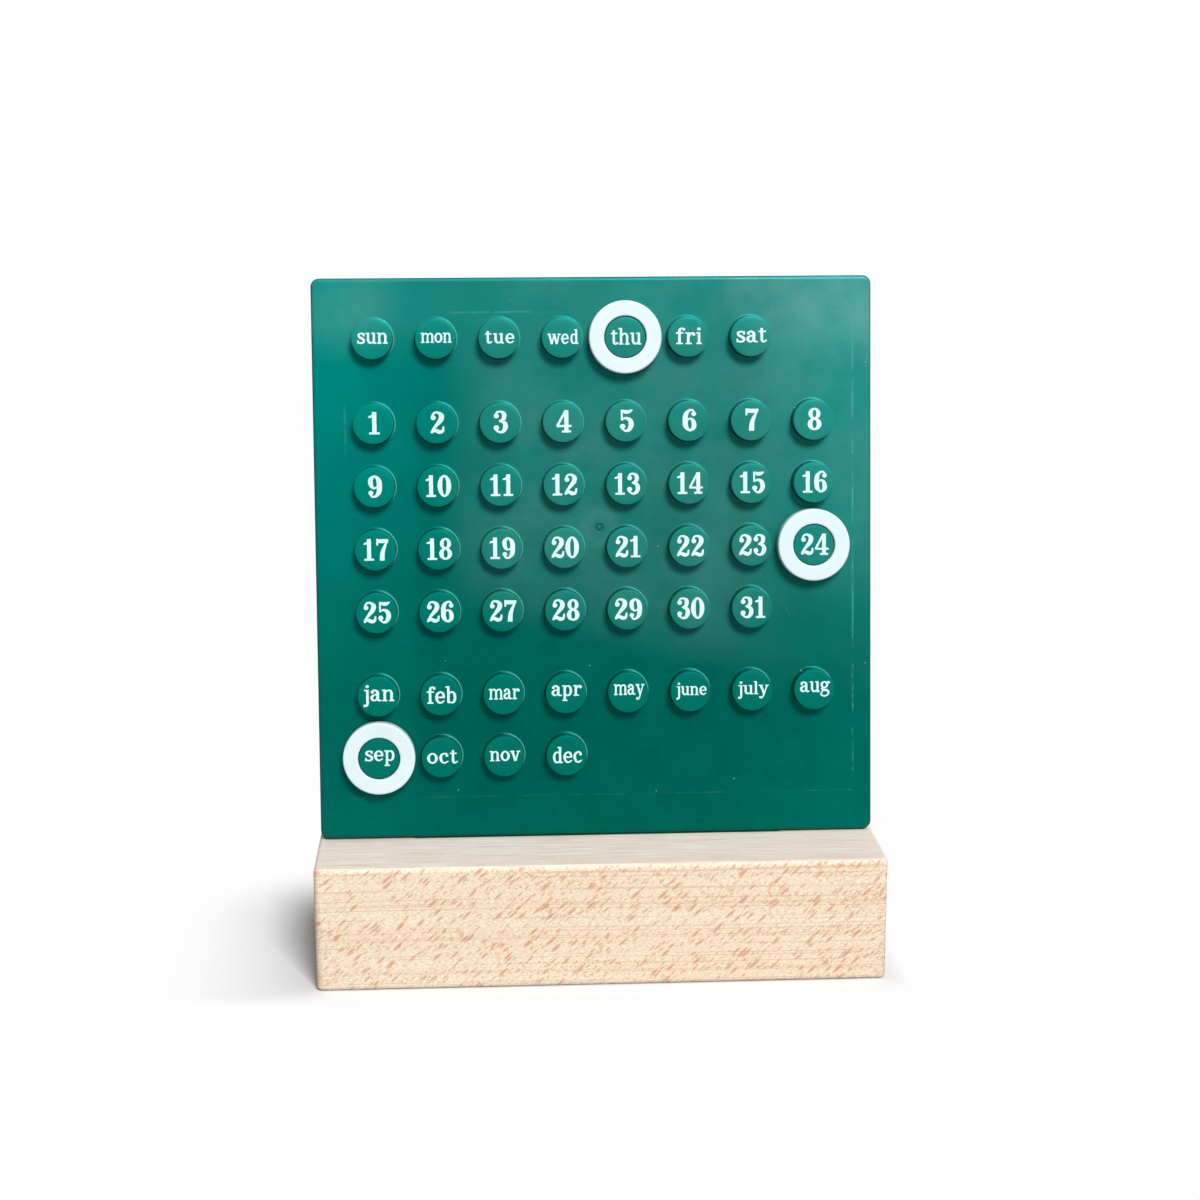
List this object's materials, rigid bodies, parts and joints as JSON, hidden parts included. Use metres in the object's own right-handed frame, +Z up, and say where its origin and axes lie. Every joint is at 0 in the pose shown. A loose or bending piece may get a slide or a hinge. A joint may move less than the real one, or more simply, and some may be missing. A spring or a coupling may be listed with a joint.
{
  "type": "perpetual desk calendar",
  "caption": "Perpetual desk calendar: a leaning moulded panel of studs for days, dates and months in a slotted wooden block, with pull-off marker rings.",
  "frame": {"origin": "centre of the wooden block's underside, on the surface it stands on", "axes": "+Z up, +X to the right as the calendar is read, and the face with the studs looks towards -Y, leaning back by 8 degrees"},
  "size_m": [0.135, 0.05, 0.1635],
  "materials": {
    "beech": "planed and sanded beech with a dull clear finish",
    "green_moulding": "deep blue-green moulding with a fine satin texture",
    "white_moulding": "cool white moulding with a satin gloss",
    "white_ink": "opaque cool white pad-printed ink"
  },
  "bodies": {
    "base": {"base_block": "beech"},
    "panel": {"calendar_panel": "green_moulding"},
    "day_ring": {"ring_day": "white_moulding"},
    "date_ring": {"ring_date": "white_moulding"},
    "month_ring": {"ring_month": "white_moulding"}
  },
  "joints": [
    {"name": "panel_lift", "type": "slide", "parent": "base", "child": "panel", "axis": [0, 0.1392, 0.9903], "range_m": [0, 0.014]},
    {"name": "day_ring_pull", "type": "slide", "parent": "panel", "child": "day_ring", "axis": [0, -0.9903, 0.1392], "range_m": [0, 0.012]},
    {"name": "date_ring_pull", "type": "slide", "parent": "panel", "child": "date_ring", "axis": [0, -0.9903, 0.1392], "range_m": [0, 0.012]},
    {"name": "month_ring_pull", "type": "slide", "parent": "panel", "child": "month_ring", "axis": [0, -0.9903, 0.1392], "range_m": [0, 0.012]}
  ]
}
